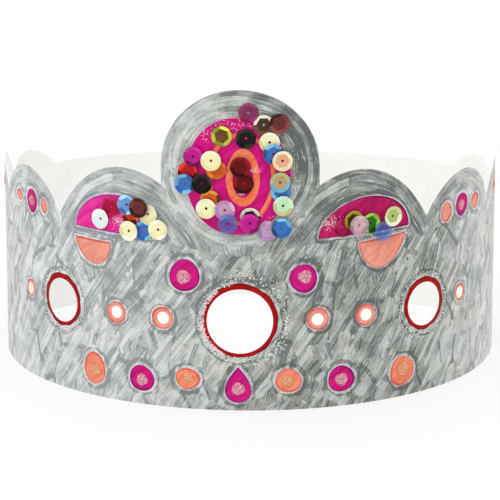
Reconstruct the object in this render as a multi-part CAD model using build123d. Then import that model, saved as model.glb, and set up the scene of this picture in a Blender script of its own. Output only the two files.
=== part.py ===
"""Paper crown: a die-cut strip of card rolled into a ring, with cupped sequins glued to its front.

Millimetres. The ring stands on z = 0 with its front towards -Y, and the middle of its card footprint
is the origin. Places along the strip are arc lengths on the card's outer face from the middle of the
front, positive towards +X.
"""

import os
from math import cos, hypot, radians, sin, sqrt

from build123d import *

# Card strip
card_thickness = 0.3
strip_height = 58.0
overrun = 2.0

# Ring in plan, on the card's outer face: a front arc, two tighter shoulders and a flatter back
front_radius = 90.0
front_half_angle = 100.0
shoulder_radius = 50.4
back_half_angle = 23.0

# Glued lap of the strip's two ends at the back
lap_length = 24.0
lap_gap = 0.05

# Middle lobe: straight sides under a half round
centre_height = 112.5
centre_half_width = 27.0

# Lobes beside it, each an elliptical arch: place, height, and the ellipse's half width and half height
inner_place = 42.0
inner_height = 83.5
inner_half_width = 40.0
inner_half_height = 68.0

outer_place = 92.5
outer_height = 76.5
outer_half_width = 30.0
outer_half_height = 44.0

side_place = 133.0
side_height = 72.5
side_half_width = 30.0
side_half_height = 44.0

rear_place = 168.0
rear_height = 65.5
rear_half_width = 30.0
rear_half_height = 44.0

# Punched holes, all on one line
hole_height = 31.8
centre_hole_diameter = 22.8
side_hole_diameter = 15.6
side_hole_place = 70.5
eyelet_diameter = 4.3
first_eyelet_place = 27.0
second_eyelet_place = 45.0
third_eyelet_place = 91.0

# Sequins: a round of film pressed into a six-sided cup, with an eye in the middle
sequin_diameter = 7.0
sequin_film = 0.12
sequin_cup_depth = 0.5
sequin_flat_across = 4.4
sequin_eye_diameter = 1.0
sequin_rim_sides = 24
sequin_eye_sides = 12
sequin_glue_film = 0.05
sequin_stack_clearance = 0.05
sequin_spin_step = 37.0

# Height of the middle of the sequins on each inner lobe
inner_sequin_height = 64.0

# Colour, then the place across and up from the middle of the lobe's sequins in sequin diameters.
# They are in the order of gluing, so each one lies over those before it.
centre_sequin_shares = [
    ("bronze", 1.16, 2.16),
    ("plum", 0.43, 2.77),
    ("brown", 1.90, 2.23),
    ("cream", 1.43, 1.31),
    ("blue", 1.61, 0.76),
    ("peach", 2.03, 0.43),
    ("olive", -0.87, 1.59),
    ("black", 0.30, 1.49),
    ("red", -2.53, -0.23),
    ("magenta", -2.23, 0.56),
    ("amber", -1.14, -0.04),
    ("cream", -1.36, 0.41),
    ("garnet", 0.19, -0.74),
    ("garnet", 0.03, 0.10),
    ("orange", -1.43, -1.59),
    ("blue", -2.67, -0.81),
    ("black", -1.80, -0.74),
    ("blue", 1.99, -1.14),
    ("gold", 1.94, -0.67),
    ("mint", 2.09, -1.84),
    ("cream", -1.61, -1.99),
    ("lilac", -0.70, -2.03),
    ("violet", -0.54, -2.69),
    ("black", 0.51, -2.43),
    ("lilac", 1.36, -3.09),
    ("magenta", 0.50, -2.71),
    ("blue", 2.01, -2.94),
]
left_sequin_shares = [
    ("magenta", -0.67, 0.71),
    ("blue", 1.17, -0.27),
    ("scarlet", 0.47, 0.49),
    ("cream", 1.43, 0.60),
    ("sky", 0.29, 0.97),
    ("brown", 0.99, 0.90),
    ("cream", 0.40, -0.34),
    ("cream", 2.00, -0.11),
    ("white", -1.24, 0.07),
]
right_sequin_shares = [
    ("magenta", -0.86, -0.04),
    ("olive", -0.36, 0.27),
    ("green", 0.51, 0.09),
    ("pink", -0.17, 0.06),
    ("violet", 1.14, -0.39),
    ("lime", 1.63, 0.34),
]

# Worked-out sizes of the ring
front_length = front_radius * radians(front_half_angle)
back_heading = 180 - back_half_angle
shoulder_offset = front_radius - shoulder_radius
back_radius = shoulder_radius + shoulder_offset * sin(radians(front_half_angle)) / sin(radians(back_half_angle))
back_length = back_radius * radians(back_half_angle)
tallest = max(centre_height, inner_height, outer_height, side_height, rear_height)

# The outer end of the lap springs out along a slightly flatter arc, clear of the inner end's tip
lap_standoff = card_thickness + lap_gap
lap_run = back_length - lap_length / 2
outer_end_radius = 1 / (1 / back_radius - 2 * lap_standoff / lap_run**2)

# Worked-out sizes of a sequin
sequin_radius = sequin_diameter / 2
flat_apothem = sequin_flat_across / 2
facet_slope = sequin_cup_depth / (sequin_radius - flat_apothem)
film_rise = sequin_film * sqrt(1 + facet_slope**2)


def outward(heading):
    """Level direction out of the ring at a heading in degrees, zero at the front and positive to +X."""
    return Vector(sin(radians(heading)), -cos(radians(heading)), 0)


def shoulder_centre(side):
    """Centre of the right (side 1) or left (side -1) shoulder arc."""
    return outward(side * front_half_angle) * shoulder_offset


def end_centre(side, radius):
    """Centre of an end arc that leaves its shoulder smoothly."""
    return shoulder_centre(side) - outward(side * back_heading) * (radius - shoulder_radius)


# Shifts the ring so that the middle of its depth is the origin
back_y = end_centre(1, back_radius).Y + back_radius
ring_middle = Vector(0, (front_radius - back_y) / 2, 0)


def card_plane(place, height=0):
    """Plane on the card's outer face: x along the strip, y up, z out of the ring."""
    side = 1 if place >= 0 else -1
    if abs(place) <= front_length:
        heading = place / front_length * front_half_angle
        centre, radius = Vector(0, 0, 0), front_radius
    else:
        past = (abs(place) - front_length) / shoulder_radius
        heading = side * front_half_angle + place / abs(place) * past / radians(1)
        centre, radius = shoulder_centre(side), shoulder_radius
    out = outward(heading)
    origin = ring_middle + centre + out * radius + Vector(0, 0, height)
    return Plane(origin, x_dir=Vector(-out.Y, out.X, 0), z_dir=out)


def strip_arcs(inset):
    """The five arcs of the strip in plan, from its left end to its right end."""
    lap_heading = 180 + lap_length / 2 / back_radius / radians(1)
    arcs = [
        (end_centre(-1, outer_end_radius), outer_end_radius, -lap_heading, -back_heading),
        (shoulder_centre(-1), shoulder_radius, -back_heading, -front_half_angle),
        (Vector(0, 0, 0), front_radius, -front_half_angle, front_half_angle),
        (shoulder_centre(1), shoulder_radius, front_half_angle, back_heading),
        (end_centre(1, back_radius), back_radius, back_heading, lap_heading),
    ]
    return [
        CenterArc(ring_middle + centre, radius - inset, start - 90, end - start)
        for centre, radius, start, end in arcs
    ]


def strip_plan():
    """The card's section in plan: a thin open ring whose ends pass each other at the back."""
    outer = strip_arcs(0)
    inner = strip_arcs(card_thickness)
    left_end = Line(outer[0] @ 0, inner[0] @ 0)
    right_end = Line(outer[-1] @ 1, inner[-1] @ 1)
    return make_face([*outer, right_end, *inner, left_end])


def through_card(place, outline):
    """A prism that carries an outline, drawn flat on the strip, through the card there."""
    face = card_plane(place) * outline
    return extrude(face, amount=shoulder_radius / 2, both=True)


def middle_outline():
    """Round-topped outline of the middle lobe."""
    sides = centre_height - centre_half_width
    legs = Rectangle(2 * centre_half_width, sides, align=(Align.CENTER, Align.MIN))
    return legs + Pos(0, sides) * Circle(centre_half_width)


def arch_outline(height, half_width, half_height):
    """Elliptical outline of a side lobe, with its top at the height given."""
    return Pos(0, height - half_height) * Ellipse(half_width, half_height)


def crown_band():
    """The card: a plain strip with lobes along its top edge and a row of punched holes."""
    wall = extrude(strip_plan(), amount=tallest + overrun)
    arches = [
        (inner_place, inner_height, inner_half_width, inner_half_height),
        (outer_place, outer_height, outer_half_width, outer_half_height),
        (side_place, side_height, side_half_width, side_half_height),
        (rear_place, rear_height, rear_half_width, rear_half_height),
    ]
    holes = [
        (first_eyelet_place, eyelet_diameter),
        (second_eyelet_place, eyelet_diameter),
        (side_hole_place, side_hole_diameter),
        (third_eyelet_place, eyelet_diameter),
    ]
    width = 2 * (front_radius + overrun)
    kept = Box(width, width, strip_height, align=(Align.CENTER, Align.CENTER, Align.MIN))
    kept += through_card(0, middle_outline())
    punched = [through_card(0, Pos(0, hole_height) * Circle(centre_hole_diameter / 2))]
    for side in (1, -1):
        for place, *arch in arches:
            kept += through_card(side * place, arch_outline(*arch))
        for place, diameter in holes:
            punched.append(through_card(side * place, Pos(0, hole_height) * Circle(diameter / 2)))
    return (wall & kept) - punched


def six_sided_cup(rim_radius):
    """Solid under a cup: a many-sided blank, cut back to the sequin's flat and its six facets."""
    rim = RegularPolygon(rim_radius, sequin_rim_sides, rotation=180 / sequin_rim_sides)
    cup = extrude(rim, amount=2 * overrun)
    for heading in range(0, 360, 60):
        out = outward(heading)
        facet = Plane(out * flat_apothem, z_dir=Vector(0, 0, 1) - out * facet_slope)
        cup = split(cup, bisect_by=facet, keep=Keep.TOP)
    return cup


def sequin():
    """One sequin, its flat on z = 0 and its cup open to +z."""
    hollow = six_sided_cup(sequin_radius + overrun)
    eye = extrude(RegularPolygon(sequin_eye_diameter / 2, sequin_eye_sides), amount=overrun, both=True)
    return six_sided_cup(sequin_radius) - Pos(0, 0, film_rise) * hollow - eye


def stack_rise(distance):
    """How far a sequin stands above one that it lies over, with their middles a distance apart."""
    slack = max(0, cos(radians(30)) * (distance - sequin_radius) - flat_apothem)
    curve_of_card = sequin_radius**2 / 2 / front_radius
    return sequin_cup_depth + film_rise + sequin_stack_clearance + curve_of_card - facet_slope * slack


def seat_sequins(lobe, middle_place, middle_height, shares):
    """Sequins of one lobe by name, each seated on the card or on those glued before it."""
    blank = sequin()
    seated = []
    nodes = {}
    for index, (colour, across_share, up_share) in enumerate(shares):
        place = middle_place + across_share * sequin_diameter
        height = middle_height + up_share * sequin_diameter
        rise = 0
        for other_place, other_height, other_rise in seated:
            distance = hypot(place - other_place, height - other_height)
            if distance < sequin_diameter:
                rise = max(rise, other_rise + stack_rise(distance))
        seated.append((place, height, rise))
        seat = card_plane(place, height).offset(sequin_glue_film + rise)
        turn = Rot(0, 0, index * sequin_spin_step)
        nodes[f"{lobe}_sequin_{index + 1:02d}_{colour}"] = seat * turn * blank
    return nodes


nodes = {"crown_band": crown_band()}
nodes |= seat_sequins("centre", 0, centre_height - centre_half_width, centre_sequin_shares)
nodes |= seat_sequins("left", -inner_place, inner_sequin_height, left_sequin_shares)
nodes |= seat_sequins("right", inner_place, inner_sequin_height, right_sequin_shares)

os.makedirs("parts", exist_ok=True)
for name, shape in nodes.items():
    export_step(shape, f"parts/{name}.step")
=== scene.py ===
"""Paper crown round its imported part: marker-coloured card, sequins and glitter glue on a white floor.

Metres. Places along the card strip are arc lengths on its outer face from the middle of the front,
positive towards +X, and heights are above the floor.
"""

import random
from math import asin, atan2, ceil, cos, hypot, pi, radians, sin, sqrt

import bpy
import numpy as np
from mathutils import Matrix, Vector
from mathutils.geometry import delaunay_2d_cdt


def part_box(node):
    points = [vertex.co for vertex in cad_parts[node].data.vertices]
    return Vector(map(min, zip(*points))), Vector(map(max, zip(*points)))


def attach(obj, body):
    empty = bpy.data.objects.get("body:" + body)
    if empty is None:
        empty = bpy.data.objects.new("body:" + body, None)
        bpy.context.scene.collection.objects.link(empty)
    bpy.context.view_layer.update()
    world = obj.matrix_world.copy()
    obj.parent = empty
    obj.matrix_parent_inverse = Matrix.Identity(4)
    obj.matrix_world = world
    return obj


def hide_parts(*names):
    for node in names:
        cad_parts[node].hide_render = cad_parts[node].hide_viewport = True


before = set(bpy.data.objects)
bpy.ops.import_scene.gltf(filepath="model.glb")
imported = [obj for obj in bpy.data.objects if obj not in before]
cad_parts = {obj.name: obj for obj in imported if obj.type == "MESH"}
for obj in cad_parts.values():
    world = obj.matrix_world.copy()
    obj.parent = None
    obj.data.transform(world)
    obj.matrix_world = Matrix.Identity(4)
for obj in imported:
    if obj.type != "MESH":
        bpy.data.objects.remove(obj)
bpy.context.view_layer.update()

MM = 0.001
TURN = 2 * pi
rng = random.Random(7)

# Ring of card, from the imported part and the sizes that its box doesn't give
card_low, card_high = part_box("crown_band")
front_radius = (card_high.x - card_low.x) / 2
ring_y = card_low.y + front_radius
centre_height = card_high.z
card_thickness = 0.3 * MM
strip_height = 58 * MM
front_half_angle = radians(100)
shoulder_radius = 50.4 * MM
back_half_angle = radians(23)
lap_length = 24 * MM
lap_gap = 0.05 * MM

# Lobes, those on each side by place, height, and the half width and half height of the arch
centre_half_width = 27 * MM
side_lobes = [
    (42 * MM, 83.5 * MM, 40 * MM, 68 * MM),
    (92.5 * MM, 76.5 * MM, 30 * MM, 44 * MM),
    (133 * MM, 72.5 * MM, 30 * MM, 44 * MM),
    (168 * MM, 65.5 * MM, 30 * MM, 44 * MM),
]
lobe_search_share = 1.5

# Punched holes
hole_height = 31.8 * MM
centre_hole_radius = 11.4 * MM
side_hole_radius = 7.8 * MM
side_hole_place = 70.5 * MM
eyelet_radius = 2.15 * MM
eyelet_places = (27 * MM, 45 * MM, 91 * MM)

# Mesh of the card
line_step = 0.45 * MM
edge_step = 0.6 * MM
grid_step = 3 * MM
grid_jitter_share = 0.2
corner_gap = 0.01 * MM
merge_distance = 0.002 * MM
sharp_angle = radians(40)

# Lines drawn by hand
ragged_reach = 0.18 * MM
ragged_waves = (5, 8, 13)
bare_gap = 0.14 * MM
gap_sway_share = 1.3
ink_edge_width = 0.55 * MM
ink_sway_share = 0.5
eyelet_ring_widths = (1.8 * MM, 1.7 * MM, 1.1 * MM)
dot_wobble_share = 0.025
oval_wobble_share = 0.015

# Lines round the shapes from the outside in: material, reach past the edge, and the shares by which it
# sways and is ragged. The two red ones start their sway at the same angle, zero.
gap_line = ("gap", bare_gap, gap_sway_share, 0)
dot_lines = [("outline", 1.9 * MM, 0.3, 1), ("pale", 0.8 * MM, 0.35, 0.5), gap_line]
moon_lines = [("outline", 1.5 * MM, 0.3, 1), ("pale", 0.7 * MM, 0.35, 0.5), gap_line]
hole_lines = [
    ("outline", 4.3 * MM, 0.1, 1),
    ("pale", 3 * MM, 0.1, 1),
    ("red_edge", 1.75 * MM, 0.16, 0.5, 0),
    ("red", 1.3 * MM, 0.16, 0, 0),
]

# The same round an eyelet, from the edge of its salmon ring
eyelet_lines = [
    ("outline", 1.5 * MM, 0.12, 1),
    ("pale", 0.45 * MM, 0.15, 0),
    ("salmon_edge", 0, 0.15, 0.5),
    ("salmon", -ink_edge_width, 0.15, 0),
]

# Round dots: colour, then place, height, half width and half height in shares of the strip's height
dot_shares = [
    ("coral", -0.314, 0.186, 0.074, 0.067),
    ("pink", -0.607, 0.159, 0.083, 0.079),
    ("coral", -0.945, 0.172, 0.084, 0.097),
    ("pink", -0.331, 0.817, 0.091, 0.100),
    ("pink", -1.536, 1.107, 0.066, 0.072),
    ("salmon", -1.390, 1.102, 0.034, 0.045),
    ("salmon", -1.722, 1.107, 0.047, 0.034),
    ("pink", -2.241, 1.086, 0.060, 0.066),
    ("coral", 0.290, 0.179, 0.079, 0.074),
    ("pink", 0.617, 0.169, 0.083, 0.083),
    ("coral", 1.041, 0.159, 0.091, 0.091),
    ("pink", 0.378, 0.803, 0.086, 0.086),
    ("pink", 1.579, 1.100, 0.069, 0.072),
    ("salmon", 1.410, 1.081, 0.055, 0.059),
    ("salmon", 1.755, 1.090, 0.057, 0.048),
    ("coral", 2.241, 1.086, 0.060, 0.066),
]

# Half moons: colour, the ends of the straight side and the bulge above it in the same shares, then the
# power that makes the bulge pointed and how far it leans, in shares of half the straight side
moon_shares = [
    ("fuchsia", (-1.083, 1.038), (-0.457, 1.028), 0.234, 1.0, 0.02),
    ("rose", (0.466, 1.038), (1.078, 1.058), 0.222, 1.05, 0.04),
    ("salmon", (-1.090, 0.976), (-0.814, 0.972), -0.150, 1.15, 0.15),
    ("salmon", (0.724, 0.997), (1.055, 1.024), -0.180, 1.3, -0.1),
]

# The drop under the middle hole: place, height, half width and half height in the same shares
drop_share = (-0.010, 0.159, 0.103, 0.110)

# Ovals on the middle lobe, from the outside in: colour, then the place across and up from the middle of
# the lobe's round, half width and half height in shares of the lobe's half width
oval_shares = [
    ("pink", -0.03, -0.11, 0.66, 0.76),
    ("orange", 0.02, -0.13, 0.42, 0.60),
    ("pink", 0.02, -0.13, 0.37, 0.55),
    ("orange", 0.04, -0.12, 0.215, 0.365),
    ("rose", 0.04, -0.12, 0.13, 0.265),
]

# Inks: light and dark colour in sRGB, and the seed of their streaks
marker_inks = {
    "gap": ((222, 220, 224), (194, 194, 197), 10),
    "pink": ((216, 22, 131), (188, 10, 108), 1),
    "fuchsia": ((232, 58, 156), (214, 24, 136), 6),
    "fuchsia_edge": ((184, 34, 140), (150, 44, 146), 7),
    "pink_edge": ((160, 14, 110), (118, 18, 104), 2),
    "rose": ((202, 30, 106), (160, 18, 84), 2),
    "rose_edge": ((146, 18, 78), (112, 14, 74), 3),
    "salmon": ((238, 160, 140), (228, 136, 116), 8),
    "salmon_edge": ((224, 112, 100), (204, 92, 92), 9),
    "coral": ((243, 148, 118), (234, 122, 88), 3),
    "coral_edge": ((232, 112, 92), (208, 86, 84), 4),
    "orange": ((246, 136, 92), (236, 104, 66), 4),
    "red": ((178, 8, 14), (146, 3, 8), 5),
    "red_edge": ((142, 6, 12), (108, 5, 9), 6),
}

# Light, middle and dark grey of the marker in sRGB: at the back, and left and right of the front
marker_greys = [
    ((230, 231, 230), (222, 224, 223), (196, 200, 195)),
    ((208, 210, 208), (192, 196, 195), (156, 160, 155)),
    ((166, 170, 169), (144, 149, 151), (98, 103, 101)),
]
slit_grey = (234, 236, 236)
marker_tints = ((1.0, 1.0, 0.97, 1.0), (0.975, 0.98, 1.0, 1.0))
card_whites = ((247, 247, 244), (253, 252, 250))

# Where the grey changes along the strip, from the first place to the second
right_places = (-55 * MM, 15 * MM)
left_front_places = (-115 * MM, -75 * MM)
right_front_places = (110 * MM, 70 * MM)

# Spots where the marker is darker or lighter: place, height and radius in shares of the strip's height, then
# the change of tone there, darker above zero
tone_spot_shares = [
    (0.42, 1.60, 0.42, 0.36),
    (0.78, 1.36, 0.30, 0.05),
    (0.76, 0.72, 0.45, 0.12),
    (-0.72, 0.78, 0.45, 0.11),
    (-0.20, 0.31, 0.22, -0.10),
    (1.38, 0.24, 0.35, -0.22),
    (1.80, 0.52, 0.45, 0.08),
    (0.00, 0.88, 0.25, 0.08),
]

# Strokes of the pens: length and width, and angle in degrees, which differs by patch on the grey
stroke_size = (20 * MM, 1.7 * MM)
streak_size = (9 * MM, 0.55 * MM)
slit_size = (9 * MM, 0.45 * MM)
patch_angles = (54, 74, 108)
broad_ink_size = (12 * MM, 2.4 * MM)
broad_ink_angle = 35
fine_ink_size = (8 * MM, 0.8 * MM)
fine_ink_angle = 60
fine_ink_seed_step = 3
fine_ink_weight = 0.4
strip_waver = 2.5 * MM
rim_waver = 2 * MM
seed_shift = (31.7 * MM, 17.3 * MM)

# Strokes that follow the rims of the lobes
ring_reach_share = 1.02
rim_strokes_low = 48 * MM
rim_strokes_high = 62 * MM

# Seams between patches of strokes: size and angle of a patch, depth in front, at the sides and behind,
# and the places between which one depth changes to the next
seam_size = (26 * MM, 11 * MM)
seam_angle = 74
seam_waver = 6 * MM
seam_depths = (-0.26, -0.56, -0.14)
seam_side_places = (60 * MM, 95 * MM)
seam_back_places = (105 * MM, 125 * MM)

# Tone of the grey marker from nought, dark, to one, light
overlap_tone = -0.3
row_shift = 9.0
streak_weight = 0.36
blot_weight = 0.24
grain_weight = 0.12
tone_contrast = 1.15
tone_shift = -0.05
outline_darkness = 0.38
pale_darkness = -0.14
slit_weight = 0.75

# Ranges over which a noise, a tone or a distance in a pattern turns from nought to one
noise_range = (0.3, 0.7)
overlap_range = (0.34, 0.5)
rim_range = (0.55, 0.6)
crossed_range = (0.61, 0.615)
steep_range = (0.44, 0.435)
blot_range = (0.34, 0.66)
slit_range = (0.65, 0.72)
seam_range = (0.05, 0.025)
seam_gap_range = (0.46, 0.54)
dark_range = (0.08, 0.5)
light_range = (0.48, 0.8)
tint_range = (0.4, 0.6)
ink_range = (0.36, 0.62)
speck_range = (0.3, 0.8)

# Dabs of glitter glue, and their dark and light colour in sRGB
dab_height = 0.35 * MM
dab_sink = 0.02 * MM
dab_share = 0.5
dab_shift_share = 0.25
dab_lump_share = 0.08
dab_rough_share = 0.12
dab_rings = 5
dab_spokes = 22
drop_dab_share = 0.4
drop_dab_shift_share = 0.25
glue_colours = {
    "pink": ((238, 146, 172), (252, 212, 218)),
    "coral": ((236, 158, 92), (250, 206, 142)),
}

# Flakes of glitter, and the tints that they have loose on the card and in each colour of glue
flake_sides = 6
flake_radius = 0.13 * MM
silver_radius = 0.21 * MM
flake_size_shares = (0.7, 1.25)
flake_depth_share = 1 / 3
flake_tilt = radians(32)
flake_lift = 0.05 * MM
flakes_per_area = 15 / MM**2
flaked_area_share = 0.75
flake_roughness = 0.15
flake_roughness_spread = 0.4
silver_tints = [
    (0.95, 0.96, 0.95), (0.95, 0.9, 0.78), (0.8, 0.84, 0.82), (0.16, 0.19, 0.17), (0.42, 0.45, 0.42),
]
glue_tints = {
    "pink": [(1.0, 0.8, 0.8), (0.94, 0.55, 0.6), (0.98, 0.7, 0.72), (0.78, 0.36, 0.44), (1.0, 0.94, 0.9)],
    "coral": [(1.0, 0.8, 0.54), (0.94, 0.6, 0.32), (0.98, 0.72, 0.45), (0.78, 0.44, 0.2), (1.0, 0.92, 0.78)],
}

# Loose glitter round the holes: nearest and furthest from the hole's edge, count, and the angles where it
# starts and ends
centre_glitter_arcs = [
    (2.6 * MM, 7.5 * MM, 420, -1.3, 1.9),
    (1.4 * MM, 3.8 * MM, 260, 1.6, 5.0),
]
pink_glitter_arc = (0.9 * MM, 2.6 * MM, 300, 2.2, 4.3)
side_glitter_ring = (2.1 * MM, 4.8 * MM, 480)
glitter_peak_share = 1 / 3

# On the middle lobe: distance from the middle, spread, count and angles, in arcs taller than wide
lobe_glitter_arcs = [
    (18.5 * MM, 1.2 * MM, 380, -1.1, 1.15),
    (17.0 * MM, 1.4 * MM, 160, 1.2, 2.4),
]
lobe_arc_share = 1.1

# In patches on pink ink: place, height, spread and count
glitter_patches = [
    (-43.5 * MM, 64.5 * MM, 2.0 * MM, 190),
    (31.5 * MM, 65.5 * MM, 2.2 * MM, 190),
    (4.9 * MM, 85.1 * MM, 1.0 * MM, 60),
    (0.5 * MM, 76.6 * MM, 0.7 * MM, 25),
]

# Film of each colour of sequin: its kind, its flat in the film's own colour, and its upper facets and lower
# facets in sRGB, which hold painted reflections
sequin_films_and_painted_reflections = {
    "cream": ("pearl", (245, 241, 188), (251, 249, 214), (234, 226, 166)),
    "white": ("pearl", (222, 242, 234), (248, 251, 249), (232, 244, 240)),
    "mint": ("pearl", (188, 234, 194), (214, 244, 214), (208, 194, 138)),
    "peach": ("pearl", (226, 166, 126), (246, 236, 206), (238, 224, 178)),
    "gold": ("pearl", (192, 156, 106), (186, 194, 118), (120, 184, 206)),
    "lime": ("pearl", (160, 186, 98), (206, 222, 150), (238, 244, 210)),
    "blue": ("metal", (62, 118, 192), (110, 176, 212), (54, 104, 184)),
    "sky": ("metal", (108, 160, 222), (156, 200, 238), (70, 110, 182)),
    "black": ("metal", (26, 19, 19), (46, 38, 36), (16, 11, 11)),
    # A black film whose upper facets hold a painted white reflection
    "black_with_painted_reflection": ("mirror", (34, 26, 24), (246, 240, 222), (22, 16, 16)),
    "brown": ("metal", (108, 50, 46), (126, 64, 58), (62, 24, 22)),
    "bronze": ("mirror", (66, 45, 32), (252, 246, 230), (104, 80, 48)),
    "olive": ("metal", (88, 64, 22), (218, 212, 74), (200, 196, 60)),
    "garnet": ("metal", (108, 6, 10), (130, 14, 18), (58, 3, 5)),
    "red": ("metal", (198, 28, 26), (216, 54, 44), (112, 10, 12)),
    "scarlet": ("metal", (208, 70, 28), (224, 104, 44), (110, 22, 12)),
    "amber": ("metal", (206, 88, 18), (228, 122, 44), (214, 100, 34)),
    "orange": ("metal", (228, 108, 30), (238, 134, 54), (106, 28, 24)),
    "green": ("metal", (42, 112, 24), (128, 186, 56), (18, 66, 12)),
    "lilac": ("film", (219, 182, 216), (232, 204, 230), (200, 156, 210)),
    "pink": ("film", (230, 188, 203), (240, 212, 222), (210, 160, 184)),
    "violet": ("film", (22, 100, 192), (50, 128, 206), (24, 132, 190)),
    "magenta": ("film", (210, 20, 152), (220, 40, 160), (130, 8, 92)),
    "plum": ("film", (142, 14, 100), (156, 28, 116), (166, 6, 66)),
    "crimson": ("film", (194, 6, 60), (208, 28, 84), (166, 2, 44)),
    "rose": ("film", (198, 20, 100), (214, 44, 122), (158, 8, 78)),
}

# Kinds of film: roughness, metallic, and how strong the painted glint and the painted shadow on single
# facets are
film_kinds = {
    "metal": (0.16, 0.5, 0.8, 0.8),
    "mirror": (0.16, 0.12, 0.0, 0.0),
    "pearl": (0.25, 0.12, 0.7, 0.14),
    "film": (0.16, 0.12, 0.5, 0.4),
}

# How much each clear film hides, and how cloudy every film is
film_alphas = {
    "lilac": 0.6, "pink": 0.7, "violet": 0.4, "magenta": 0.8, "plum": 0.55, "crimson": 0.55, "rose": 0.4,
}
film_cloud_weight = 0.12

# Three sequins that look other than their colour: a black one with a painted white reflection on its upper
# facets, and two clearer films
shown_as = {
    "centre_sequin_24_black": "black_with_painted_reflection",
    "left_sequin_01_magenta": "crimson",
    "right_sequin_01_magenta": "rose",
}

# Painted reflections on the facets by the way they face: cosine to the card's normal, tilt up, steps of the
# normal that tell one facet from the next, and the chance of a painted glint or a painted shadow with its
# gain
flat_cosines = (0.978, 0.988)
facet_tilts = (0.16, -0.16)
normal_steps = 40.0
glint_chances = (0.74, 0.75)
glint_gain = 1.7
shadow_chances = (0.24, 0.23)
shadow_gain = 0.3

# Depths of the grain of the card, the glue and the film
card_grain_depth = 0.1 * MM
glue_grain_depth = 0.15 * MM
film_grain_depth = 0.05 * MM

# Camera at the photo's place
camera_place = (41.84 * MM, -1066.8 * MM, 308.64 * MM)
camera_forward = (-0.03754, 0.96848, -0.24622)
camera_lens = 216.2
camera_sensor = 36.0

# Floor, with the distances over which its shadow and its reflection fade
floor_half = 4.0
floor_tone = 0.92
floor_glow = 0.7
shadow_fade = (0.12, 0.5)
mirror_fade = (0.15, 0.3)
far_mirror_tone = 0.85

# Light, and the heights between which the reflected sky turns white
world_strength = 0.95
low_mirror_tone = 0.8
mirror_heights = (0.3, 0.7)
light_size = 0.9
key_place = (-0.7, -0.9, 1.2)
key_watts = 2.5
top_place = (0.0, -0.35, 1.1)
top_watts = 1.5

# Worked-out sizes of the ring
back_heading = pi - back_half_angle
shoulder_offset = front_radius - shoulder_radius
back_radius = shoulder_radius + shoulder_offset * sin(front_half_angle) / sin(back_half_angle)
front_length = front_radius * front_half_angle
shoulder_length = shoulder_radius * (back_heading - front_half_angle)
back_length = back_radius * back_half_angle
lap_run = back_length - lap_length / 2
outer_end_radius = 1 / (1 / back_radius - 2 * (card_thickness + lap_gap) / lap_run**2)
strip_half = front_length + shoulder_length + back_length + lap_length / 2

centre_lobe = (0.0, centre_height, centre_half_width, centre_half_width)
lobes = [centre_lobe]
for lobe_place, *lobe_sizes in side_lobes:
    lobes += [(lobe_place, *lobe_sizes), (-lobe_place, *lobe_sizes)]

punches = [(0.0, centre_hole_radius)]
for side in (1, -1):
    punches.append((side * side_hole_place, side_hole_radius))
    punches += [(side * place, eyelet_radius) for place in eyelet_places]


def outward(heading):
    """Level direction out of the ring, heading zero at the front and positive towards +X."""
    return Vector((sin(heading), -cos(heading), 0))


def ring_point(place):
    """Point on the card's outer face at floor level, and the direction out of the ring there."""
    side = 1 if place >= 0 else -1
    along = abs(place)
    middle = Vector((0, ring_y, 0))
    if along <= front_length:
        out = outward(place / front_radius)
        return middle + out * front_radius, out
    shoulder = middle + outward(side * front_half_angle) * shoulder_offset
    along -= front_length
    if along <= shoulder_length:
        out = outward(side * (front_half_angle + along / shoulder_radius))
        return shoulder + out * shoulder_radius, out
    radius = back_radius if side > 0 else outer_end_radius
    along -= shoulder_length
    out = outward(side * (back_heading + along / radius))
    centre = shoulder - outward(side * back_heading) * (radius - shoulder_radius)
    return centre + out * radius, out


def on_card(place, height, lift=0.0):
    """Point at a lift above the card's outer face."""
    point, out = ring_point(place)
    return point + out * lift + Vector((0, 0, height))


def across(place, middle_place):
    """How far a place is from another, seen square on to the card at the other."""
    point, _ = ring_point(place)
    middle, out = ring_point(middle_place)
    return (point - middle).dot(Vector((-out.y, out.x, 0)))


def top_edge(place):
    """Height of the card's top edge at a place."""
    top = strip_height
    for lobe_place, height, half_width, half_height in lobes:
        if abs(place - lobe_place) > lobe_search_share * half_width:
            continue
        share = across(place, lobe_place) / half_width
        if abs(share) < 1:
            top = max(top, height - half_height + half_height * sqrt(1 - share * share))
    return top


def on_strip(shares):
    """Lengths from shares of the strip's height."""
    return [share * strip_height for share in shares]


def polar(place, height, reach, angle):
    """Place and height at a reach and an angle from a point of the strip."""
    return place + reach * cos(angle), height + reach * sin(angle)


def spaced(start, end, step):
    """Evenly spaced values from start up to but not including end."""
    count = max(2, ceil(abs(end - start) / step))
    return [start + (end - start) * index / count for index in range(count)]


def strip_outline():
    """The strip's outline, anticlockwise from its lower left corner."""
    lobe_side = front_radius * asin(centre_half_width / front_radius)
    tops = spaced(strip_half, -strip_half, edge_step) + [-strip_half]
    tops += [side * (lobe_side + shift) for side in (1, -1) for shift in (corner_gap, -corner_gap)]
    outline = [(place, 0.0) for place in spaced(-strip_half, strip_half, grid_step)]
    outline.append((strip_half, 0.0))
    outline += [(place, top_edge(place)) for place in sorted(tops, reverse=True)]
    return outline


def oval(place, height, half_width, half_height, wobble):
    """A closed oval drawn by hand, with a slight wobble."""
    phases = [rng.uniform(0, TURN) for _ in range(2)]
    points = []
    for angle in spaced(0, TURN, line_step / max(half_width, half_height)):
        size = 1 + wobble * (sin(2 * angle + phases[0]) + sin(3 * angle + phases[1]))
        swing = size * half_width * cos(angle)
        points.append((place + swing, height + size * half_height * sin(angle)))
    return points


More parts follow.
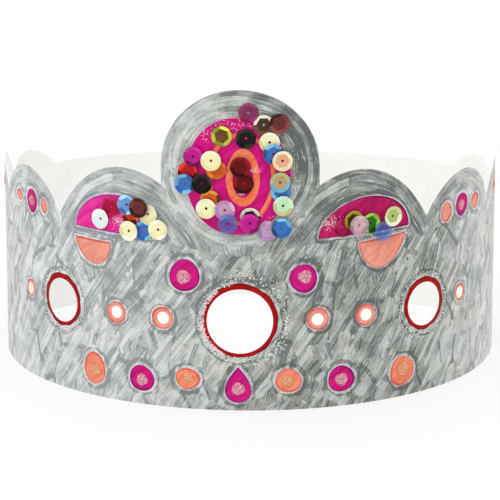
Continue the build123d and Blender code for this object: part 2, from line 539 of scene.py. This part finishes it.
def moon(start, end, bulge, power, lean):
    """A half moon on the straight line from start to end."""
    middle = ((start[0] + end[0]) / 2, (start[1] + end[1]) / 2)
    half = ((end[0] - start[0]) / 2, (end[1] - start[1]) / 2)
    points = []
    for angle in spaced(0, pi, line_step / abs(half[0])) + [pi]:
        rise = max(0, sin(angle)) ** power
        swing = cos(angle) + lean * rise
        points.append((middle[0] + half[0] * swing, middle[1] + half[1] * swing + bulge * rise))
    for share in spaced(-1, 1, line_step / abs(half[0]))[1:]:
        points.append((middle[0] + half[0] * share, middle[1] + half[1] * share))
    return points if bulge > 0 else points[::-1]


def drop(place, height, half_width, half_height):
    """A drop with its point upwards."""
    points = []
    for angle in spaced(0, TURN, line_step / half_height):
        swell = -sin(angle) * sin(angle / 2)
        points.append((place + half_width * swell, height + half_height * cos(angle)))
    return points


def punched(place, radius):
    """Outline on the strip of a round hole."""
    points = []
    for angle in spaced(0, TURN, edge_step / radius):
        swing = asin(radius * cos(angle) / front_radius)
        points.append((place + front_radius * swing, hole_height + radius * sin(angle)))
    return points


def grown(outline, distance, sway=0.0, ragged=0.0, phase=None):
    """The outline moved outwards by a distance that sways round it, with a ragged edge."""
    phases = [rng.uniform(0, TURN) for _ in (0, *ragged_waves)]
    if phase is not None:
        phases[0] = phase
    count = len(outline)
    points = []
    for index, (place, height) in enumerate(outline):
        before = outline[index - 1]
        after = outline[(index + 1) % count]
        run = Vector((after[0] - before[0], after[1] - before[1]))
        out = Vector((run.y, -run.x)).normalized() if run.length > 0 else Vector((0, 1))
        angle = TURN * index / count
        reach = distance * (1 + sway * sin(angle + phases[0]))
        for wave, shift in zip(ragged_waves, phases[1:]):
            reach += ragged * sin(wave * angle + shift)
        points.append((place + out.x * reach, height + out.y * reach))
    return points


def ringed(shape, lines, width=0.0):
    """Fields that the lines round a shape fill: material and outline."""
    return [
        (name, grown(shape, width + reach, sway, ragged * ragged_reach, *phase))
        for name, reach, sway, ragged, *phase in lines
    ]


def inked(colour, shape, lines):
    """Fields of an inked shape: the lines round it, its edge, and its ink."""
    edge = (colour + "_edge", shape)
    return ringed(shape, lines) + [edge, (colour, grown(shape, -ink_edge_width, ink_sway_share))]


def marker_fields():
    """All fields of colour on the outside, in the order of drawing: material and outline."""
    fields = []
    for colour, *shares in dot_shares:
        dot = oval(*on_strip(shares), dot_wobble_share)
        fields += inked(colour, dot, dot_lines)
    for colour, start, end, bulge, power, lean in moon_shares:
        half_moon = moon(on_strip(start), on_strip(end), bulge * strip_height, power, lean)
        fields += inked(colour, half_moon, moon_lines)
    fields += inked("pink", drop(*on_strip(drop_share)), dot_lines)
    for index, (colour, *shares) in enumerate(oval_shares):
        place, rise, half_width, half_height = [share * centre_half_width for share in shares]
        middle = centre_height - centre_half_width + rise
        ring = oval(place, middle, half_width, half_height, oval_wobble_share)
        if index == 0:
            fields.append(("gap", grown(ring, bare_gap / 2, gap_sway_share)))
        fields.append((colour, ring))
    for place, radius in punches:
        hole = punched(place, radius)
        if radius == eyelet_radius:
            width = eyelet_ring_widths[eyelet_places.index(abs(place))]
            fields += ringed(hole, eyelet_lines, width)
        else:
            fields += ringed(hole, hole_lines)
    return fields


def inside(points, outline):
    """Which of the points lie inside a closed outline."""
    corners = np.array(outline)
    found = np.zeros(len(points), bool)
    for (x0, y0), (x1, y1) in zip(corners, np.roll(corners, -1, axis=0)):
        if y0 == y1:
            continue
        spans = (points[:, 1] < y0) != (points[:, 1] < y1)
        crossing = x0 + (points[:, 1] - y0) / (y1 - y0) * (x1 - x0)
        found ^= spans & (points[:, 0] < crossing)
    return found


def triangulated(loops):
    """Points and anticlockwise triangles of the flat strip, with the loops among their edges."""
    points, edges = [], []
    for loop in loops:
        first = len(points)
        points += [Vector(point) / MM for point in loop]
        edges += [(first + index, first + (index + 1) % len(loop)) for index in range(len(loop))]
    for height in spaced(grid_step / 2, centre_height, grid_step):
        for place in spaced(-strip_half, strip_half, grid_step):
            shift = grid_step * rng.uniform(-grid_jitter_share, grid_jitter_share)
            points.append(Vector((place, height + shift)) / MM)
    solved = delaunay_2d_cdt(points, edges, [], 0, merge_distance / MM)
    flat = np.array([tuple(point) for point in solved[0]]) * MM
    triangles = np.array(solved[2])
    corners = flat[triangles]
    first, second = corners[:, 1] - corners[:, 0], corners[:, 2] - corners[:, 0]
    turned = first[:, 0] * second[:, 1] - first[:, 1] * second[:, 0] < 0
    triangles[turned] = triangles[turned][:, ::-1]
    return flat, triangles


def flat_pattern(outline, holes, fields):
    """The flat strip cut out: its points, its triangles, and the material of each."""
    flat, triangles = triangulated([outline, *holes, *[field for _, field in fields]])
    middles = flat[triangles].mean(axis=1)
    kept = inside(middles, outline)
    for hole in holes:
        kept &= ~inside(middles, hole)
    triangles, middles = triangles[kept], middles[kept]
    names = np.full(len(triangles), "marker", dtype=object)
    for name, field in fields:
        names[inside(middles, field)] = name
    used = np.unique(triangles)
    renumber = np.zeros(len(flat), int)
    renumber[used] = np.arange(len(used))
    return flat[used], renumber[triangles], names


def rolled(flat, triangles):
    """Points and faces of the rolled card: its outer face, its inner face, then its edge."""
    count = len(flat)
    points = [on_card(place, height) for place, height in flat]
    points += [on_card(place, height, -card_thickness) for place, height in flat]
    faces = [tuple(triangle) for triangle in triangles]
    faces += [(c + count, b + count, a + count) for a, b, c in triangles]
    directed = {edge for a, b, c in triangles for edge in ((a, b), (b, c), (c, a))}
    faces += sorted((b, a, a + count, b + count) for a, b in directed if (b, a) not in directed)
    return points, faces


def polar_on_lobe(lobe, place, height):
    """A point's share of the way out to a lobe's rim, and its angle round the lobe."""
    lobe_place, top, half_width, half_height = lobe
    across_share = (place - lobe_place) / half_width
    up_share = (height - top + half_height) / half_height
    return hypot(across_share, up_share), atan2(up_share, across_share)


def stroke_lobe(place, height):
    """The lobe whose rim the strokes at a point follow: the middle one's ring comes first."""
    if polar_on_lobe(centre_lobe, place, height)[0] < ring_reach_share:
        return centre_lobe
    return min(lobes[1:], key=lambda lobe: polar_on_lobe(lobe, place, height)[0])


def rim_strokes(lobe, place, height):
    """Millimetres along and across the strokes round a lobe, and how much they follow its rim."""
    reach, angle = polar_on_lobe(lobe, place, height)
    half_width = lobe[2]
    if lobe is centre_lobe:
        follow = 1.0
    else:
        follow = reach * min(1, max(0, (height - rim_strokes_low) / (rim_strokes_high - rim_strokes_low)))
    return angle * half_width / MM, reach * half_width / MM, follow


def store(mesh, name, kind, domain, values):
    """Stores a vector or a colour on each point or corner of a mesh."""
    stored = mesh.attributes.new(name, kind, domain)
    stored.data.foreach_set("color" if kind == "FLOAT_COLOR" else "vector", np.array(values).ravel())


def store_strokes(mesh, flat):
    """Stores on the card its flat places, and the strokes round its lobes."""
    count = len(flat)
    places = np.column_stack([np.tile(flat / MM, (2, 1)), np.zeros(2 * count)])
    store(mesh, "strip", "FLOAT_VECTOR", "POINT", places)
    rounds = []
    for polygon in mesh.polygons:
        corners = [flat[index % count] for index in polygon.vertices]
        lobe = stroke_lobe(*np.mean(corners, axis=0))
        rounds += [rim_strokes(lobe, *corner) for corner in corners]
    store(mesh, "rim", "FLOAT_VECTOR", "CORNER", rounds)


def add_object(name, data):
    """An object in the scene."""
    made = bpy.data.objects.new(name, data)
    bpy.context.scene.collection.objects.link(made)
    return made


def new_piece(name, points, faces, materials, indices=None, smooth=True):
    """A mesh piece that rides on the part."""
    mesh = bpy.data.meshes.new(name)
    mesh.from_pydata([tuple(point) for point in points], [], faces)
    for material in materials:
        mesh.materials.append(material)
    if indices is not None:
        mesh.polygons.foreach_set("material_index", indices)
    mesh.polygons.foreach_set("use_smooth", [smooth] * len(mesh.polygons))
    made = add_object(name, mesh)
    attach(made, "root")
    return made


def card_band(materials):
    """The rolled card with its fields of marker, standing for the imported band."""
    holes = [punched(place, radius) for place, radius in punches]
    flat, triangles, names = flat_pattern(strip_outline(), holes, marker_fields())
    points, faces = rolled(flat, triangles)
    order = list(materials)
    indices = [order.index(name) for name in names]
    indices += [order.index("card")] * (len(faces) - len(triangles))
    band = new_piece("crown_card", points, faces, materials.values(), indices)
    band.data.set_sharp_from_angle(angle=sharp_angle)
    store_strokes(band.data, flat)
    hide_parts("crown_band")


def glue_places():
    """Every dab of glitter glue: place, height, radius and colour of its dot. The salmon dots have none."""
    dabs = []
    for colour, *shares in dot_shares:
        if colour in glue_colours:
            place, height, half_width, half_height = on_strip(shares)
            radius = dab_share * min(half_width, half_height)
            shift = radius * dab_shift_share
            aside, up = [rng.uniform(-shift, shift) for _ in range(2)]
            dabs.append((place + aside, height + up, radius, colour))
    place, height, half_width, _ = on_strip(drop_share)
    dabs.append((place, height - drop_dab_shift_share * half_width, drop_dab_share * half_width, "pink"))
    return dabs


def dab_points(place, height, radius):
    """Rings of points from the edge of a lumpy dab to its top."""
    phase = rng.uniform(0, TURN)
    points = []
    for ring in range(dab_rings + 1):
        share = 1 - ring / (dab_rings + 1)
        lift = dab_height * sqrt(1 - share * share) - (dab_sink if ring == 0 else 0)
        for spoke in range(dab_spokes):
            angle = TURN * spoke / dab_spokes
            reach = radius * share * (1 + dab_lump_share * sin(3 * angle + phase))
            rough = 0
            if 0 < ring < dab_rings:
                rough = dab_height * rng.uniform(-dab_rough_share, dab_rough_share)
            points.append(on_card(*polar(place, height, reach, angle), lift + rough))
    return points


def dab_faces(first):
    """Faces of a dab whose points start at an index: its sides, top and underside."""
    faces = []
    for ring in range(dab_rings):
        here = first + ring * dab_spokes
        there = here + dab_spokes
        for spoke in range(dab_spokes):
            after = (spoke + 1) % dab_spokes
            faces.append((here + spoke, here + after, there + after, there + spoke))
    faces.append(tuple(first + dab_rings * dab_spokes + spoke for spoke in range(dab_spokes)))
    faces.append(tuple(first + spoke for spoke in reversed(range(dab_spokes))))
    return faces


def glue_dabs(dabs, materials):
    """Low domes of dried glue, in the material for the dot's colour."""
    points, faces, indices = [], [], []
    for *sizes, colour in dabs:
        faces += dab_faces(len(points))
        points += dab_points(*sizes)
        indices += [list(materials).index(colour)] * (len(faces) - len(indices))
    new_piece("glitter_glue", points, faces, materials.values(), indices)


def flake(place, height, lift, radius, tints):
    """One flake of glitter: place, height, lift above the card, radius and tint."""
    return place, height, lift, radius * rng.uniform(*flake_size_shares), rng.choice(tints)


def dab_glitter(place, height, radius, colour):
    """Flakes all over a dab of glue."""
    for _ in range(int(flakes_per_area * radius * radius)):
        angle = rng.uniform(0, TURN)
        share = sqrt(rng.uniform(0, flaked_area_share))
        lift = dab_height * sqrt(1 - share * share) + flake_lift / 2
        yield flake(*polar(place, height, radius * share, angle), lift, flake_radius, glue_tints[colour])


def hole_glitter(middle, radius, inner, outer, count, start=0.0, end=TURN, tints=silver_tints):
    """Flakes scattered round a hole, thickest near its edge."""
    near, far = radius + inner, radius + outer
    for _ in range(count):
        angle = rng.uniform(start, end)
        reach = rng.triangular(near, far, near + (far - near) * glitter_peak_share)
        yield flake(*polar(middle, hole_height, reach, angle), flake_lift, silver_radius, tints)


def lobe_glitter(middle_reach, spread, count, start, end):
    """Flakes along an arc on the middle lobe."""
    middle = centre_height - lobe_arc_share * centre_half_width
    for _ in range(count):
        angle = rng.uniform(start, end)
        reach = rng.gauss(middle_reach, spread)
        height = middle + lobe_arc_share * reach * sin(angle)
        yield flake(reach * cos(angle), height, flake_lift, flake_radius, silver_tints)


def patch_glitter(middle_place, middle_height, spread, count):
    """Flakes in a loose patch, wider than high."""
    for _ in range(count):
        place = rng.gauss(middle_place, spread)
        height = rng.gauss(middle_height, spread / 2)
        yield flake(place, height, flake_lift, flake_radius, glue_tints["pink"])


def all_flakes(dabs):
    """Every flake of glitter, in the glue and loose on the card."""
    flakes = []
    for dab in dabs:
        flakes += dab_glitter(*dab)
    for arc in centre_glitter_arcs:
        flakes += hole_glitter(0, centre_hole_radius, *arc)
    flakes += hole_glitter(0, centre_hole_radius, *pink_glitter_arc, glue_tints["pink"])
    for side in (1, -1):
        flakes += hole_glitter(side * side_hole_place, side_hole_radius, *side_glitter_ring)
    for arc in lobe_glitter_arcs:
        flakes += lobe_glitter(*arc)
    for patch in glitter_patches:
        flakes += patch_glitter(*patch)
    return flakes


def glitter_flakes(dabs, material):
    """Tiny six-sided flakes, each a flat top over a point in the glue."""
    points, faces, tints = [], [], []
    up = Vector((0, 0, 1))
    for place, height, lift, radius, tint in all_flakes(dabs):
        base = on_card(place, height, lift)
        _, out = ring_point(place)
        side = Vector((-out.y, out.x, 0))
        tilt = rng.uniform(0, flake_tilt)
        spin = rng.uniform(0, TURN)
        lean = side * cos(spin) + up * sin(spin)
        facing = (out * cos(tilt) + lean * sin(tilt)).normalized()
        first_axis = facing.cross(up).normalized()
        second_axis = facing.cross(first_axis)
        first = len(points)
        for angle in spaced(0, TURN, TURN / flake_sides):
            points.append(base + radius * (first_axis * cos(angle) + second_axis * sin(angle)))
        points.append(base - facing * radius * flake_depth_share)
        rim = [first + corner for corner in range(flake_sides)]
        faces.append(tuple(rim))
        faces += [(after, before, first + flake_sides) for before, after in zip(rim, rim[1:] + rim[:1])]
        tints += [(*tint, 1.0)] * (flake_sides + 1)
    flakes = new_piece("glitter_flakes", points, faces, [material], smooth=False)
    store(flakes.data, "tint", "FLOAT_COLOR", "POINT", tints)


def srgb(colour):
    """A linear colour from its sRGB values up to 255."""
    shares = [value / 255 for value in colour]
    linear = [share / 12.92 if share <= 0.04045 else ((share + 0.055) / 1.055) ** 2.4 for share in shares]
    return (*linear, 1.0)


def grey(tone):
    """A linear grey."""
    return (tone, tone, tone, 1.0)


def scaled(colour, factor):
    """A colour made brighter or darker."""
    return tuple(min(1.0, channel * factor) for channel in colour[:3]) + (1.0,)


def live(sockets):
    """The sockets that a node's settings leave in use."""
    return [socket for socket in sockets if socket.enabled]


def feed(socket, value):
    """Gives an input a value, or links it from a socket."""
    if isinstance(value, bpy.types.NodeSocket):
        socket.id_data.links.new(value, socket)
    else:
        socket.default_value = value


def feed_inputs(node, **inputs):
    """Feeds a node's inputs by name."""
    for key, value in inputs.items():
        feed(node.inputs[key.replace("_", " ")], value)


def add_node(tree, kind, settings=None, **inputs):
    """A shader node with its settings, and its inputs by name."""
    made = tree.nodes.new("ShaderNode" + kind)
    for key, value in (settings or {}).items():
        setattr(made, key, value)
    feed_inputs(made, **inputs)
    return made


def combined(kind, settings, *values):
    """Output of a node whose inputs in use take values or sockets in turn."""
    tree = next(value.id_data for value in values if isinstance(value, bpy.types.NodeSocket))
    made = add_node(tree, kind, settings)
    for socket, value in zip(live(made.inputs), values):
        feed(socket, value)
    return live(made.outputs)[0]


def maths(operation, *values):
    """Sum, product or the like of values."""
    return combined("Math", {"operation": operation}, *values)


def vector_maths(operation, *values):
    """The same for vectors."""
    return combined("VectorMath", {"operation": operation}, *values)


def between(factor, first, second):
    """Value between two values."""
    return combined("Mix", {"data_type": "FLOAT"}, factor, first, second)


def mix_colours(factor, first, second):
    """Colour between two colours."""
    return combined("Mix", {"data_type": "RGBA"}, factor, first, second)


def smooth_step(value, start, end):
    """Nought at start and before, one at end and beyond, and a smooth change between."""
    return combined("MapRange", {"interpolation_type": "SMOOTHSTEP"}, value, start, end)


def mix_shaders(factor, first, second):
    """Shader node between two others."""
    made = add_node(factor.id_data, "MixShader", Fac=factor)
    feed(made.inputs[1], first.outputs[0])
    feed(made.inputs[2], second.outputs[0])
    return made


def length_step(millimetres, start, end):
    """A smooth step between two lengths, of a value in the millimetres that the card stores."""
    return smooth_step(millimetres, start / MM, end / MM)


def component(vector, axis):
    """One component of a vector."""
    return add_node(vector.id_data, "SeparateXYZ", Vector=vector).outputs[axis]


def noise(coordinates, scale, detail=2.0, roughness=0.5, distortion=0.0, dimensions="3D", output=0):
    """Soft noise."""
    made = add_node(
        coordinates.id_data, "TexNoise", {"noise_dimensions": dimensions},
        Vector=coordinates, Scale=scale, Detail=detail, Roughness=roughness, Distortion=distortion,
    )
    return made.outputs[output]


def attribute(tree, name, output="Vector"):
    """A value stored on the mesh."""
    return add_node(tree, "Attribute", {"attribute_name": name}).outputs[output]


def object_place(tree):
    """Where a point is, in metres."""
    return add_node(tree, "TexCoord").outputs["Object"]


def new_material(name):
    """A node material, and its tree and surface shader."""
    material = bpy.data.materials.new(name)
    material.use_nodes = True
    tree = material.node_tree
    return material, tree, tree.nodes["Principled BSDF"]


def add_bump(shader, height, strength, depth):
    """Roughens a shader's normal by a pattern of heights."""
    bump = add_node(shader.id_data, "Bump", Strength=strength, Distance=depth, Height=height)
    feed_inputs(shader, Normal=bump.outputs[0])


def paint(shader, strip, colour, roughness, specular, tooth):
    """Gives a shader a colour on the card, with the card's fine tooth."""
    feed_inputs(shader, Base_Color=colour, Roughness=roughness, Specular_IOR_Level=specular)
    grain = noise(strip, scale=1.6, detail=4.0, roughness=0.6)
    add_bump(shader, grain, tooth, card_grain_depth)


def along_strokes(coordinates, angle, size, seed):
    """Coordinates that count strokes of a length and width, drawn at an angle in degrees."""
    length, width = [side / MM for side in size]
    shift = [seed * step / MM for step in seed_shift]
    placed = add_node(
        coordinates.id_data, "Mapping", {"vector_type": "TEXTURE"}, Vector=coordinates,
        Location=(*shift, 0), Rotation=(0, 0, radians(angle)), Scale=(length, width, 1),
    )
    return placed.outputs[0]


def wavering(coordinates, reach):
    """Coordinates shifted by a slow noise, so that strokes drawn along them aren't ruled."""
    slow = noise(coordinates, scale=0.05, output="Color")
    shift = vector_maths("SUBTRACT", slow, (0.5, 0.5, 0.5))
    shift = vector_maths("MULTIPLY", shift, (reach / MM, reach / MM, 0))
    return vector_maths("ADD", coordinates, shift)


def streaks(coordinates, angle, size, seed):
    """Noise drawn out along strokes."""
    placed = along_strokes(coordinates, angle, size, seed)
    return noise(placed, scale=1.0, detail=3.0, roughness=0.55, distortion=0.15, dimensions="2D")


def pen_strokes(coordinates, angle, size, seed):
    """Tone of separate marker strokes, darker where they overlap at their edges."""
    tree = coordinates.id_data
    placed = along_strokes(coordinates, angle, size, seed)
    along, aside = [component(placed, axis) for axis in "XY"]
    row = maths("FLOOR", aside)
    start = add_node(tree, "TexWhiteNoise", {"noise_dimensions": "1D"}, W=row).outputs["Value"]
    column = maths("FLOOR", maths("MULTIPLY_ADD", start, row_shift, along))
    cell = add_node(tree, "CombineXYZ", X=column, Y=row, Z=float(seed)).outputs[0]
    tone = add_node(tree, "TexWhiteNoise", Vector=cell).outputs["Value"]
    middle = maths("SUBTRACT", maths("FRACT", aside), 0.5)
    overlap = smooth_step(maths("ABSOLUTE", middle), *overlap_range)
    return maths("MULTIPLY_ADD", overlap, overlap_tone, tone)


def pen_seams(coordinates):
    """Dark seams here and there, where one patch of strokes runs over the next."""
    wavy = wavering(coordinates, seam_waver)
    cells = add_node(
        wavy.id_data, "TexVoronoi", {"feature": "DISTANCE_TO_EDGE", "voronoi_dimensions": "2D"},
        Vector=along_strokes(wavy, seam_angle, seam_size, seed=4), Scale=1.0,
    )
    line = smooth_step(cells.outputs["Distance"], *seam_range)
    some = noise(coordinates, scale=0.12, detail=1.0)
    return maths("MULTIPLY", line, smooth_step(some, *seam_gap_range))


def seam_depth(strip):
    """How much the seams darken the tone along the strip."""
    front, side, back = seam_depths
    away = maths("ABSOLUTE", component(strip, "X"))
    depth = between(length_step(away, *seam_side_places), front, side)
    return between(length_step(away, *seam_back_places), depth, back)


def marker_tone(strip, rim):
    """Tone of the grey marker, light and dark in overlapping strokes, and its bare slits."""
    on_lobe = smooth_step(component(rim, "Z"), *rim_range)
    drawn = wavering(strip, strip_waver)
    rounded = wavering(rim, rim_waver)
    patches = noise(strip, scale=0.075, detail=3.0)
    is_crossed = smooth_step(patches, *crossed_range)
    is_steep = smooth_step(patches, *steep_range)

    def by_patch(kind, size):
        kinds = [kind(drawn, angle, size, seed) for seed, angle in enumerate(patch_angles, start=1)]
        slant, steep, crossed = kinds
        hatched = between(is_crossed, between(is_steep, slant, steep), crossed)
        return between(on_lobe, hatched, kind(rounded, 0, size, seed=4))

    fine = smooth_step(by_patch(streaks, streak_size), *noise_range)
    blots = smooth_step(noise(drawn, scale=0.16, detail=4.0), *blot_range)
    grain = smooth_step(noise(strip, scale=1.1), *noise_range)
    tone = between(streak_weight, by_patch(pen_strokes, stroke_size), fine)
    tone = between(blot_weight, tone, blots)
    tone = between(grain_weight, tone, grain)
    seams = maths("MULTIPLY", pen_seams(drawn), maths("SUBTRACT", 1.0, on_lobe))
    tone = maths("MULTIPLY_ADD", seams, seam_depth(strip), tone)
    return tone, smooth_step(by_patch(streaks, slit_size), *slit_range)


def tone_spots(strip):
    """How much darker or lighter the marker is in round spots."""
    total = 0.0
    for *spot, radius, change in tone_spot_shares:
        middle = [length / MM for length in on_strip(spot)]
        distance = vector_maths("DISTANCE", strip, (*middle, 0.0))
        near = length_step(distance, radius * strip_height, 0.0)
        total = maths("MULTIPLY_ADD", near, change, total)
    return total


def greys_along(strip):
    """Light, middle and dark grey of the marker along the strip."""
    place = component(strip, "X")
    to_right = length_step(place, *right_places)
    front = [length_step(place, *places) for places in (left_front_places, right_front_places)]
    in_front = maths("MULTIPLY", *front)
    greys = []
    for behind, left, right in marker_greys:
        across_front = mix_colours(to_right, srgb(left), srgb(right))
        greys.append(mix_colours(in_front, srgb(behind), across_front))
    return greys


def card_material():
    """Bare white card with a faint cloudiness."""
    material, tree, shader = new_material("card")
    strip = attribute(tree, "strip")
    cloud = smooth_step(noise(strip, scale=0.09, detail=5.0, roughness=0.6), *noise_range)
    colour = mix_colours(cloud, *[srgb(white) for white in card_whites])
    paint(shader, strip, colour, roughness=0.8, specular=0.25, tooth=0.25)
    return material


def marker_material(name, darkness=0.0):
    """Grey felt marker, darkest right of the middle and bare in a few slits."""
    material, tree, shader = new_material(name)
    strip = attribute(tree, "strip")
    tone, slits = marker_tone(strip, attribute(tree, "rim"))
    tone = maths("MULTIPLY_ADD", tone, tone_contrast, tone_shift - darkness)
    tone = maths("SUBTRACT", tone, tone_spots(strip))
    light, middle, dark = greys_along(strip)
    colour = mix_colours(smooth_step(tone, *dark_range), dark, middle)
    colour = mix_colours(smooth_step(tone, *light_range), colour, light)
    slit = maths("MULTIPLY", slits, max(0.0, slit_weight - darkness))
    colour = mix_colours(slit, colour, srgb(slit_grey))
    tint = mix_colours(smooth_step(noise(strip, scale=0.11), *tint_range), *marker_tints)
    colour = vector_maths("MULTIPLY", colour, tint)
    paint(shader, strip, colour, roughness=0.62, specular=0.3, tooth=0.2)
    return material


def ink_material(name, light, dark, seed):
    """A field of bright felt marker, streaked where strokes overlap."""
    material, tree, shader = new_material(name)
    strip = attribute(tree, "strip")
    broad = streaks(strip, broad_ink_angle, broad_ink_size, seed)
    fine = streaks(strip, fine_ink_angle, fine_ink_size, seed + fine_ink_seed_step)
    tone = smooth_step(between(fine_ink_weight, broad, fine), *ink_range)
    colour = mix_colours(tone, srgb(dark), srgb(light))
    paint(shader, strip, colour, roughness=0.55, specular=0.1, tooth=0.2)
    return material


def glue_material(name, dark, light):
    """Cloudy dried glue full of fine glitter."""
    material, tree, shader = new_material(name)
    specks = add_node(tree, "TexVoronoi", Vector=object_place(tree), Scale=2600.0)
    value = add_node(tree, "SeparateColor", Color=specks.outputs["Color"]).outputs[0]
    colour = mix_colours(smooth_step(value, *speck_range), srgb(dark), srgb(light))
    feed_inputs(shader, Base_Color=colour, Alpha=0.42, Roughness=0.25)
    add_bump(shader, value, strength=0.6, depth=glue_grain_depth)
    return material


def flake_material():
    """Bright metal flakes, each in its own tint."""
    material, tree, shader = new_material("glitter_flakes")
    dull = noise(object_place(tree), scale=900.0)
    roughness = maths("MULTIPLY_ADD", dull, flake_roughness_spread, flake_roughness)
    feed_inputs(shader, Base_Color=attribute(tree, "tint", "Color"), Roughness=roughness, Metallic=0.35)
    return material


def painted_facet_reflections(normal, upper, lower, bright, dim):
    """Painted reflections on the pressed facets by their tilt, with a painted glint on some and a painted
    shadow on others.
    """
    colour = mix_colours(smooth_step(component(normal, "Z"), *facet_tilts), lower, upper)
    stepped = vector_maths("FLOOR", vector_maths("MULTIPLY", normal, (normal_steps,) * 3))
    chance = add_node(normal.id_data, "TexWhiteNoise", Vector=stepped).outputs["Value"]
    glint = maths("MULTIPLY", smooth_step(chance, *glint_chances), bright)
    colour = mix_colours(glint, colour, scaled(upper, glint_gain))
    shadow = maths("MULTIPLY", smooth_step(chance, *shadow_chances), dim)
    return mix_colours(shadow, colour, scaled(lower, shadow_gain))


def sequin_material(colour):
    """Shiny pressed film of one colour, with reflections painted on its facets by the way they face."""
    kind, *tones = sequin_films_and_painted_reflections[colour]
    flat, upper, lower = [srgb(tone) for tone in tones]
    roughness, metallic, bright, dim = film_kinds[kind]
    material, tree, shader = new_material(f"sequin_{colour}")
    place = object_place(tree)
    from_axis = vector_maths("SUBTRACT", place, (0.0, ring_y, 0.0))
    out = vector_maths("NORMALIZE", vector_maths("MULTIPLY", from_axis, (1.0, 1.0, 0.0)))
    normal = add_node(tree, "NewGeometry").outputs["True Normal"]
    on_flat = smooth_step(vector_maths("DOT_PRODUCT", normal, out), *flat_cosines)
    # The facets carry painted reflections, and the flat keeps the film's own colour
    film = mix_colours(on_flat, painted_facet_reflections(normal, upper, lower, bright, dim), flat)
    cloud = smooth_step(noise(place, scale=260.0, detail=3.0), *noise_range)
    clouded = mix_colours(cloud, film, lower)
    feed_inputs(
        shader, Base_Color=mix_colours(film_cloud_weight, film, clouded),
        Roughness=roughness, Metallic=metallic, Alpha=film_alphas.get(colour, 1.0),
        Specular_IOR_Level=0.2, Coat_Weight=0.06, Coat_Roughness=0.1,
    )
    add_bump(shader, noise(place, scale=1500.0), strength=0.12, depth=film_grain_depth)
    return material


def looked_at(path):
    """One for what the camera sees, straight or through something clear, and nought for the light."""
    return maths("MAXIMUM", path["Is Camera Ray"], path["Is Transmission Ray"])


def floor_material():
    """White floor that keeps a soft shadow, and grows darker away from the crown in reflections."""
    material, tree, _ = new_material("floor")
    tree.nodes.clear()
    path = add_node(tree, "LightPath").outputs
    distance = vector_maths("LENGTH", object_place(tree))
    matte = add_node(tree, "BsdfDiffuse", Color=grey(floor_tone))
    white = add_node(tree, "Emission", Color=grey(1.0), Strength=1.0)
    glow = maths("MAXIMUM", smooth_step(distance, *shadow_fade), floor_glow)
    shown = mix_shaders(looked_at(path), matte, mix_shaders(glow, matte, white))
    mirrored = mix_colours(smooth_step(distance, *mirror_fade), grey(1.0), grey(far_mirror_tone))
    glossy = add_node(tree, "Emission", Color=mirrored, Strength=1.0)
    final = mix_shaders(path["Is Glossy Ray"], shown, glossy)
    add_node(tree, "OutputMaterial", Surface=final.outputs[0])
    return material


def add_floor():
    """Level floor under the crown."""
    mesh = bpy.data.meshes.new("floor")
    corners = [(x * floor_half, y * floor_half, 0) for x, y in ((-1, -1), (1, -1), (1, 1), (-1, 1))]
    mesh.from_pydata(corners, [], [(0, 1, 2, 3)])
    mesh.materials.append(floor_material())
    floor = add_object("floor", mesh)


def add_aimed(name, data, place, direction):
    """A light or a camera at a place that faces in a direction."""
    made = add_object(name, data)
    made.location = place
    made.rotation_mode = "QUATERNION"
    made.rotation_quaternion = direction.to_track_quat("-Z", "Y")
    return made


def soft_light(name, place, watts):
    """A large round light that faces the crown."""
    data = bpy.data.lights.new(name, "AREA")
    data.shape = "DISK"
    data.size = light_size
    data.energy = watts
    add_aimed(name, data, place, Vector((0, 0, strip_height)) - Vector(place))


def studio_world():
    """Even light from all round, which the camera sees as white."""
    world = bpy.data.worlds.new("studio")
    bpy.context.scene.world = world
    world.use_nodes = True
    tree = world.node_tree
    tree.nodes.clear()
    path = add_node(tree, "LightPath").outputs
    direction = add_node(tree, "TexCoord").outputs["Generated"]
    high = smooth_step(component(direction, "Z"), *mirror_heights)
    mirrored = mix_colours(high, grey(low_mirror_tone), grey(1.0))
    colour = mix_colours(path["Is Glossy Ray"], grey(world_strength), mirrored)
    colour = mix_colours(looked_at(path), colour, grey(1.0))
    background = add_node(tree, "Background", Color=colour, Strength=1.0)
    add_node(tree, "OutputWorld", Surface=background.outputs[0])


def photo_camera():
    """Camera at the photo's place and angle."""
    data = bpy.data.cameras.new("camera")
    data.lens = camera_lens
    data.sensor_width = camera_sensor
    bpy.context.scene.camera = add_aimed("camera", data, camera_place, Vector(camera_forward))


card_materials = {
    "marker": marker_material("marker"),
    "outline": marker_material("marker_outline", outline_darkness),
    "pale": marker_material("marker_pale", pale_darkness),
}
for name, ink in marker_inks.items():
    card_materials[name] = ink_material(f"{name}_marker", *ink)
card_materials["card"] = card_material()
glue_materials = {
    colour: glue_material(f"{colour}_glitter_glue", *tones) for colour, tones in glue_colours.items()
}
sequin_materials = {colour: sequin_material(colour) for colour in sequin_films_and_painted_reflections}

card_band(card_materials)
dabs = glue_places()
glue_dabs(dabs, glue_materials)
glitter_flakes(dabs, flake_material())
for name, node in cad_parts.items():
    if name != "crown_band":
        node.data.materials.clear()
        colour = shown_as.get(name, name.rsplit("_", 1)[1])
        node.data.materials.append(sequin_materials[colour])

add_floor()
soft_light("key", key_place, key_watts)
soft_light("top", top_place, top_watts)
studio_world()
photo_camera()
bpy.context.scene.view_settings.view_transform = "Standard"
